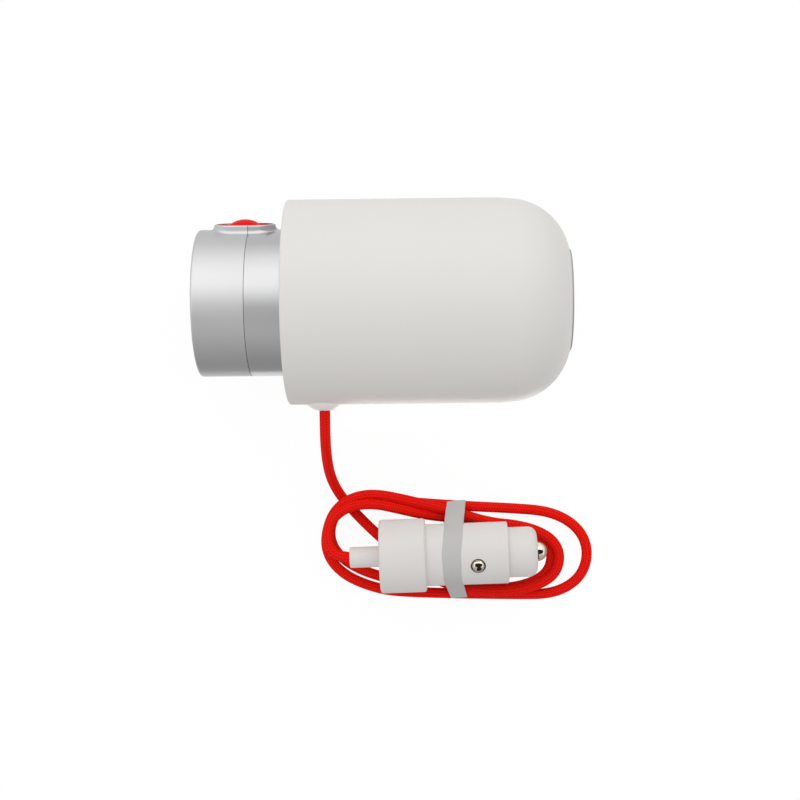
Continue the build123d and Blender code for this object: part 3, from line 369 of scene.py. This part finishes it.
def grain_group():
    """Shared grain: broad tone changes and a fine texture, both fixed to the piece."""
    group = bpy.data.node_groups.new("surface_grain", "ShaderNodeTree")
    sockets = (
        ("Light", "NodeSocketColor", None), ("Dark", "NodeSocketColor", None),
        ("Patch Scale", "NodeSocketFloat", 60), ("Grain Scale", "NodeSocketFloat", 3000),
        ("Rough Low", "NodeSocketFloat", 0.5), ("Rough High", "NodeSocketFloat", 0.6),
    )
    for label, kind, value in sockets:
        socket = group.interface.new_socket(label, in_out="INPUT", socket_type=kind)
        if value is not None:
            socket.default_value = value
    for label, kind in (("Color", "NodeSocketColor"), ("Roughness", "NodeSocketFloat"),
                        ("Height", "NodeSocketFloat")):
        group.interface.new_socket(label, in_out="OUTPUT", socket_type=kind)
    inlet = group.nodes.new("NodeGroupInput")
    outlet = group.nodes.new("NodeGroupOutput")
    coordinate = group.nodes.new("ShaderNodeTexCoord")
    patch = group.nodes.new("ShaderNodeTexNoise")
    patch.inputs["Detail"].default_value = 2.0
    grain = group.nodes.new("ShaderNodeTexNoise")
    grain.inputs["Detail"].default_value = 2.0
    for texture, scale in ((patch, "Patch Scale"), (grain, "Grain Scale")):
        group.links.new(coordinate.outputs["Object"], texture.inputs["Vector"])
        group.links.new(inlet.outputs[scale], texture.inputs["Scale"])
    both = group.nodes.new("ShaderNodeMath")
    both.operation = "MULTIPLY_ADD"
    both.inputs[1].default_value = grain_share
    group.links.new(grain.outputs["Fac"], both.inputs[0])
    share = group.nodes.new("ShaderNodeMath")
    share.operation = "MULTIPLY"
    share.inputs[1].default_value = 1 - grain_share
    group.links.new(patch.outputs["Fac"], share.inputs[0])
    group.links.new(share.outputs["Value"], both.inputs[2])
    tone = group.nodes.new("ShaderNodeMix")
    tone.data_type = "RGBA"
    group.links.new(both.outputs["Value"], tone.inputs["Factor"])
    group.links.new(inlet.outputs["Light"], tone.inputs["A"])
    group.links.new(inlet.outputs["Dark"], tone.inputs["B"])
    rough = group.nodes.new("ShaderNodeMapRange")
    group.links.new(grain.outputs["Fac"], rough.inputs["Value"])
    group.links.new(inlet.outputs["Rough Low"], rough.inputs["To Min"])
    group.links.new(inlet.outputs["Rough High"], rough.inputs["To Max"])
    group.links.new(tone.outputs["Result"], outlet.inputs["Color"])
    group.links.new(rough.outputs["Result"], outlet.inputs["Roughness"])
    group.links.new(grain.outputs["Fac"], outlet.inputs["Height"])
    return group


surface_grain = grain_group()


def grained(name, light, dark, rough, grain, relief, metallic=0.0, patch=0.015):
    """A material with the shared grain: grain and patch are the sizes of its marks in metres."""
    material, tree, shader = bare_material(name, light, rough[0], metallic)
    node = tree.nodes.new("ShaderNodeGroup")
    node.node_tree = surface_grain
    node.inputs["Light"].default_value = linear(light)
    node.inputs["Dark"].default_value = linear(dark)
    node.inputs["Patch Scale"].default_value = 1 / patch
    node.inputs["Grain Scale"].default_value = 1 / grain
    node.inputs["Rough Low"].default_value = rough[0]
    node.inputs["Rough High"].default_value = rough[1]
    tree.links.new(node.outputs["Color"], shader.inputs["Base Color"])
    tree.links.new(node.outputs["Roughness"], shader.inputs["Roughness"])
    add_bump(tree, shader, node.outputs["Height"], relief)
    return material


def shader_of(material):
    """The Principled shader in a grained material."""
    return material.node_tree.nodes["Principled BSDF"]


strap = strap_band()
silicone = grained("grey_silicone", (201, 200, 198), (195, 194, 192), (0.62, 0.75), 0.0005, 0.000006)
shader_of(silicone).inputs["Specular IOR Level"].default_value = 0.3
strap.data.materials.append(silicone)
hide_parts("cord_strap")
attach(strap, "casing")


# ---- Body shell, shoulder and grommet ----
# The body is one cup of matt white plastic with a fine spark-eroded texture from its mould. The
# shoulder closes it round the neck, and a soft white grommet is snapped in from inside.
def dress(material, *names):
    """Puts a finish on CAD nodes."""
    for name in names:
        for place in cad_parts[name].material_slots:
            place.material = material


white_shell = grained(
    "matt_white_shell", (231, 229, 225), (227, 225, 221), (0.44, 0.54), 0.00035, 0.000004, patch=0.03)
shader_of(white_shell).inputs["Specular IOR Level"].default_value = 0.4
dress(white_shell, "body_shell", "shoulder_ring")
# Painted light: the grommet's white is set lighter than the body's to stand in for the light that the table
# throws up onto it.
grommet_white = grained(
    "soft_white_grommet", (248, 247, 244), (245, 243, 240), (0.28, 0.36), 0.0004, 0.000003)
dress(grommet_white, "cord_grommet")

# ---- Base grille ----
# A thin disc moulded in matt grey plastic and pressed into the domed end. Rings of slots in it
# let the fan's air through.
grille_grey = grained(
    "grille_grey", (178, 175, 170), (170, 167, 162), (0.45, 0.55), 0.0003, 0.000004)
dress(grille_grey, "base_grille")

# ---- Neck ----
# Two turned aluminium rings, blasted with glass beads and clear anodised. The pad round the
# button is milled from both, so their seam runs through it.
neck_rings = (
    ("upper", "neck_upper_ring", (206, 206, 207), (195, 195, 196), (0.37, 0.47)),
    ("lower", "neck_lower_ring", (203, 203, 204), (191, 191, 192), (0.20, 0.28)),
)
for name, ring, light, dark, rough in neck_rings:
    blasted = grained(
        "blasted_aluminium_" + name, light, dark, rough, 0.00022, 0.000004, metallic=1.0)
    dress(blasted, ring)

# ---- Button ----
# One moulding in bright red plastic: a round-ended base that sits in the pad, with a low dome to
# press in its middle. The switch's spring holds it up.
button_red = grained(
    "button_red", (240, 18, 12), (228, 12, 8), (0.34, 0.42), 0.0003, 0.000002)
shader_of(button_red).inputs["Specular IOR Level"].default_value = 0.06
dress(button_red, "power_button")

# ---- Plug ----
# Sleeve, collar, barrel and screw-on nose are moulded in the body's white. The tip and side
# contacts are turned brass, plated with polished nickel, and sprung from inside.
plug_white = grained(
    "plug_white", (231, 228, 225), (227, 223, 220), (0.48, 0.60), 0.0003, 0.000003)
shader_of(plug_white).inputs["Specular IOR Level"].default_value = 0.4
dress(plug_white, "plug_sleeve", "plug_collar", "plug_barrel", "plug_nose")
nickel = grained(
    "polished_nickel", (242, 232, 214), (234, 223, 204), (0.02, 0.05), 0.0006, 0.0000002, metallic=1.0)
dress(nickel, "tip_contact", "side_contact_upper", "side_contact_lower")

# ---- Outlets ----
# The neck's end holds a black moulded plate, a cream contact block with folded brass contacts,
# two steel USB shells on black tongues and a clear light pipe, all soldered to a round board.
black_moulding = grained(
    "black_moulding", (34, 34, 36), (26, 26, 28), (0.48, 0.62), 0.0003, 0.000006)
dress(black_moulding, "outlet_face", "usb_tongues")
cream = grained("cream_moulding", (214, 206, 186), (206, 197, 176), (0.45, 0.55), 0.0004, 0.000003)
dress(cream, "outlet_housing", "input_terminal")
brass = grained(
    "rolled_brass", (222, 184, 110), (206, 166, 92), (0.22, 0.34), 0.0005, 0.000002, metallic=1.0)
dress(brass, "blade_contacts", "earth_contact", "fuse_contact")
shell_steel = grained(
    "plated_shell", (212, 212, 214), (196, 196, 200), (0.20, 0.32), 0.0006, 0.000002, metallic=1.0)
dress(shell_steel, "usb_shells")
light_pipe = grained(
    "clear_light_pipe", (238, 244, 240), (226, 236, 230), (0.12, 0.20), 0.0008, 0.000001)
shader_of(light_pipe).inputs["Transmission Weight"].default_value = 0.8
dress(light_pipe, "status_light")


# ---- Boards ----
# Glass-epoxy boards with green solder mask over the copper, whose tracks show through as paler bands.
track_scale = 160.0
track_width = 0.06


def solder_mask():
    """Green mask whose copper tracks show through."""
    material = grained(
        "solder_mask", (20, 96, 50), (14, 80, 40), (0.26, 0.38), 0.0005, 0.000003, patch=0.004)
    tree = material.node_tree
    coordinate = tree.nodes.new("ShaderNodeTexCoord")
    tracks = tree.nodes.new("ShaderNodeTexBrick")
    tracks.inputs["Scale"].default_value = track_scale
    tracks.inputs["Mortar Size"].default_value = track_width
    tree.links.new(coordinate.outputs["Object"], tracks.inputs["Vector"])
    over = tree.nodes.new("ShaderNodeMix")
    over.data_type = "RGBA"
    over.inputs["B"].default_value = linear((46, 128, 70))
    tree.links.new(tracks.outputs["Fac"], over.inputs["Factor"])
    base = shader_of(material).inputs["Base Color"]
    tree.links.new(base.links[0].from_socket, over.inputs["A"])
    tree.links.new(over.outputs["Result"], base)
    return material


dress(solder_mask(), "outlet_board", "switch_board", "main_board")

# ---- Switch under the button ----
# A black six-millimetre key switch, soldered to its own small board, with a nylon plunger that the
# button presses.
nylon = grained("black_nylon", (44, 43, 44), (34, 33, 35), (0.38, 0.50), 0.0003, 0.000003)
dress(nylon, "switch_plunger", "button_switch")

# ---- Chassis and screws ----
# One black moulded frame carries the board and the fan. Zinc-plated slotted screws hold it, the
# neck, the boards and the fan.
chassis_black = grained(
    "chassis_black", (42, 42, 44), (33, 33, 35), (0.52, 0.66), 0.0006, 0.000008)
dress(chassis_black, "chassis", "cord_clamp")
zinc = grained(
    "zinc_plate", (206, 205, 200), (188, 188, 186), (0.24, 0.38), 0.0004, 0.000002, metallic=1.0, patch=0.002)
dress(zinc, "case_screws", "neck_screws", "outlet_screws", "transistor_screws", "fan_screws")


# ---- Transformer and choke ----
# Dark ferrite round a coil of lacquered copper wire, laid in even turns. The choke is wound the
# same way on a ring.
# The wave texture's scale at which one turn would be a metre wide.
metre_wave_scale = 0.314
wire_relief = 0.00012


def wound_wire(name, axis, turn):
    """Lacquered copper in turns that follow each other along an axis."""
    material = grained(
        name, (198, 112, 58), (172, 90, 42), (0.28, 0.40), 0.0008, 0.000002, metallic=1.0)
    tree = material.node_tree
    coordinate = tree.nodes.new("ShaderNodeTexCoord")
    turns = tree.nodes.new("ShaderNodeTexWave")
    turns.bands_direction = axis
    turns.inputs["Scale"].default_value = metre_wave_scale / turn
    tree.links.new(coordinate.outputs["Object"], turns.inputs["Vector"])
    add_bump(tree, shader_of(material), turns.outputs["Fac"], wire_relief)
    return material


ferrite = grained("ferrite", (58, 56, 58), (44, 43, 45), (0.50, 0.64), 0.0005, 0.00001)
dress(ferrite, "transformer_core")
dress(wound_wire("transformer_wire", "Z", 0.0009), "transformer_winding")
dress(wound_wire("choke_wire", "X", 0.0012), "choke_coil")

# ---- Capacitors ----
# Electrolytic capacitors: aluminium cans in a shrunk sleeve of dark blue film. Two stand on the
# main board, and the long one lies along it.
sleeve_film = grained(
    "capacitor_film", (30, 40, 72), (24, 32, 60), (0.20, 0.32), 0.0008, 0.000003)
dress(sleeve_film, "input_capacitors", "bus_capacitor")

# ---- Heat sink and transistors ----
# Extruded aluminium with drawn lines along its fins. Three transistors in black epoxy are screwed
# to it, and the output terminal has the same black.
extruded = grained(
    "extruded_aluminium", (196, 198, 202), (178, 181, 186), (0.30, 0.44), 0.0004, 0.000004, metallic=1.0)
shader_of(extruded).inputs["Anisotropic"].default_value = 0.4
dress(extruded, "heat_sink")
epoxy = grained("black_epoxy", (30, 30, 32), (22, 22, 24), (0.42, 0.58), 0.0003, 0.000005)
dress(epoxy, "power_transistors", "output_terminal")

# ---- Wires inside ----
# Copper wires in soft red insulation with a satin skin. Two join the cord to its terminal, and
# three run from the output terminal to the outlet board.
insulation = grained(
    "red_insulation", (186, 26, 22), (170, 20, 18), (0.34, 0.46), 0.0004, 0.000002)
dress(insulation, "output_wires", "supply_wires")

# ---- Fan ----
# A forty-millimetre fan in black glass-filled plastic: frame, wound stator, sleeve bearing,
# rotor with seven blades and a steel shaft.
fan_black = grained("fan_black", (28, 28, 30), (20, 20, 22), (0.40, 0.56), 0.0005, 0.000006)
dress(fan_black, "fan_frame", "fan_rotor")
bronze = grained(
    "sintered_bronze", (170, 124, 78), (146, 102, 60), (0.38, 0.52), 0.0003, 0.000006, metallic=1.0)
dress(bronze, "fan_bearing")
dress(wound_wire("stator_wire", "X", 0.0006), "fan_stator")
steel = grained(
    "drawn_steel", (190, 190, 192), (170, 170, 174), (0.16, 0.28), 0.0005, 0.000002, metallic=1.0)
dress(steel, "fan_shaft", "tip_spring", "side_spring_upper", "side_spring_lower")

# ---- Fuse ----
# A glass fuse with nickel-plated caps, drawn as one glossy piece. It lies in a tube of brown
# fibre inside the barrel.
fuse_glass = grained("fuse_glass", (206, 214, 214), (192, 202, 202), (0.06, 0.14), 0.001, 0.000001)
shader_of(fuse_glass).inputs["Transmission Weight"].default_value = 0.6
dress(fuse_glass, "plug_fuse")
fibre_tube = grained("fibre_tube", (150, 98, 62), (130, 82, 50), (0.55, 0.68), 0.0004, 0.000008)
dress(fibre_tube, "fuse_tube")

# ---- Table and background ----
# A white table with a seamless white background behind it. The lens, mirrors and glass see both as
# plain white, and the table keeps a faint contact shadow.
table_size = 4
table_glow = 1.02
glow_share = 0.92
ambient_light = 0.57


def seen_share(tree):
    """1 for what the lens, a mirror or glass sees, and 0 for light that is gathered."""
    path = tree.nodes.new("ShaderNodeLightPath")
    seen = path.outputs["Is Camera Ray"]
    for ray in ("Is Glossy Ray", "Is Transmission Ray"):
        either = tree.nodes.new("ShaderNodeMath")
        either.operation = "MAXIMUM"
        tree.links.new(seen, either.inputs[0])
        tree.links.new(path.outputs[ray], either.inputs[1])
        seen = either.outputs["Value"]
    return seen


def mix_shaders(tree, share, first, second, output):
    """Joins two shaders by a share and sends them to the output."""
    mixed = tree.nodes.new("ShaderNodeMixShader")
    tree.links.new(share, mixed.inputs["Fac"])
    tree.links.new(first, mixed.inputs[1])
    tree.links.new(second, mixed.inputs[2])
    tree.links.new(mixed.outputs["Shader"], tree.nodes[output].inputs["Surface"])


bpy.ops.mesh.primitive_plane_add(size=table_size)
floor = bpy.context.object
floor.name = "table"
table, tree, shader = bare_material("white_table", (250, 250, 250), 0.7)
glow = tree.nodes.new("ShaderNodeEmission")
glow.inputs["Strength"].default_value = table_glow
share = tree.nodes.new("ShaderNodeMath")
share.operation = "MULTIPLY"
share.inputs[1].default_value = glow_share
tree.links.new(seen_share(tree), share.inputs[0])
mix_shaders(tree, share.outputs["Value"], shader.outputs["BSDF"], glow.outputs["Emission"], "Material Output")
floor.data.materials.append(table)

world = bpy.data.worlds.new("studio")
scene.world = world
world.use_nodes = True
tree = world.node_tree
ambient = tree.nodes["Background"]
backdrop = tree.nodes.new("ShaderNodeBackground")
for light, strength in ((ambient, ambient_light), (backdrop, 1.0)):
    light.inputs["Color"].default_value = (1, 1, 1, 1)
    light.inputs["Strength"].default_value = strength
mix_shaders(
    tree, seen_share(tree), ambient.outputs["Background"], backdrop.outputs["Background"], "World Output")


# ---- Lamps ----
# One wide soft box leans over the far side of the device, and a weak one stands low on each side.
# A small one on the table lights the lower edge of the body. The world fills the shadows.
def soft_box(name, place, size, power, aim=(0.0, -0.02, 0.02)):
    """A rectangular lamp that faces the device, or the place that it is aimed at. Power is in watts."""
    way = Vector(aim) - Vector(place)
    bpy.ops.object.light_add(type="AREA", location=place)
    lamp = bpy.context.object
    lamp.name = name
    lamp.rotation_euler = way.to_track_quat("-Z", "Y").to_euler()
    lamp.data.shape = "RECTANGLE"
    lamp.data.size, lamp.data.size_y = size
    lamp.data.energy = power
    lamp.visible_camera = False


soft_box("key", (-0.04, 0.33, 0.86), (1.8, 1.3), 5.65)
soft_box("far_fill", (-0.04, 0.75, 0.12), (1.4, 0.3), 0.45)
soft_box("table_bounce", (0.024, -0.0475, 0.0052), (0.076, 0.013), 0.0072, (0.024, -0.02, 0.03))
soft_box("low_fill", (0.05, -0.75, 0.10), (1.4, 0.3), 0.05)


# ---- Mirror tent ----
# A grey tent round the device and dark flags over the plug. Only metal and gloss mirror them: they
# light nothing, shade nothing, and the lens doesn't see them.
def mirror_sheet(name, rows):
    """A bent sheet from rows of (low x, high x, y, z, radiance), graded evenly between them."""
    points, faces, tones = [], [], []
    for row, (low, high, y, z, radiance) in enumerate(rows):
        points += [(low, y, z), (high, y, z)]
        tones += [radiance, radiance]
        if row:
            here = 2 * row
            faces.append((here - 2, here - 1, here + 1, here))
    mesh = bpy.data.meshes.new(name)
    mesh.from_pydata(points, [], faces)
    mesh.attributes.new("radiance", "FLOAT", "POINT").data.foreach_set("value", tones)
    sheet = bpy.data.objects.new(name, mesh)
    scene.collection.objects.link(sheet)
    sheet.visible_camera = sheet.visible_diffuse = sheet.visible_shadow = False
    material = bpy.data.materials.new(name)
    material.use_nodes = True
    tree = material.node_tree
    glow = tree.nodes.new("ShaderNodeEmission")
    tone = tree.nodes.new("ShaderNodeAttribute")
    tone.attribute_name = "radiance"
    tree.links.new(tone.outputs["Fac"], glow.inputs["Strength"])
    tree.links.new(glow.outputs["Emission"], tree.nodes["Material Output"].inputs["Surface"])
    material.cycles.emission_sampling = "NONE"
    mesh.materials.append(material)


tent_half_width = 0.9
tent_rows = (
    (0.62, 0.02, 0.86), (0.62, 0.22, 1.22), (0.45, 0.47, 1.52), (0.26, 0.62, 1.50), (0.10, 0.66, 1.16),
    (-0.02, 0.66, 0.84), (-0.10, 0.65, 0.62), (-0.30, 0.58, 0.61), (-0.45, 0.43, 0.65), (-0.55, 0.30, 0.57),
    (-0.62, 0.10, 0.48), (-0.62, 0.0004, 0.44), (-0.055, 0.0004, 0.40),
)
far_table_rows = ((0.036, 0.0004, 0.79), (0.60, 0.0004, 0.82))
for name, rows in (("mirror_tent", tent_rows), ("far_table_card", far_table_rows)):
    mirror_sheet(name, [(-tent_half_width, tent_half_width, *row) for row in rows])

# Small dark flags over the plug give its polished contacts their dark bar and stems.
bar_height = 0.060
bar_edges = (-0.062, -0.109)
bar_spread = (0.052, 0.11)
stem_foot = -0.135
stem_half_width = 0.012
contact_places = (0.0298, 0.0501)
dark = 0.02
for index, x in enumerate(contact_places):
    low, high = x - stem_half_width, x + stem_half_width
    mirror_sheet(f"contact_stem_{index + 1}", [(low, high, bar_edges[1], bar_height, dark),
                                               (low, high, stem_foot, 0.0, dark)])
bar_ends = (contact_places[0] - bar_spread[0], contact_places[1] + bar_spread[1])
mirror_sheet("contact_bar", [(*bar_ends, edge, bar_height, dark) for edge in bar_edges])
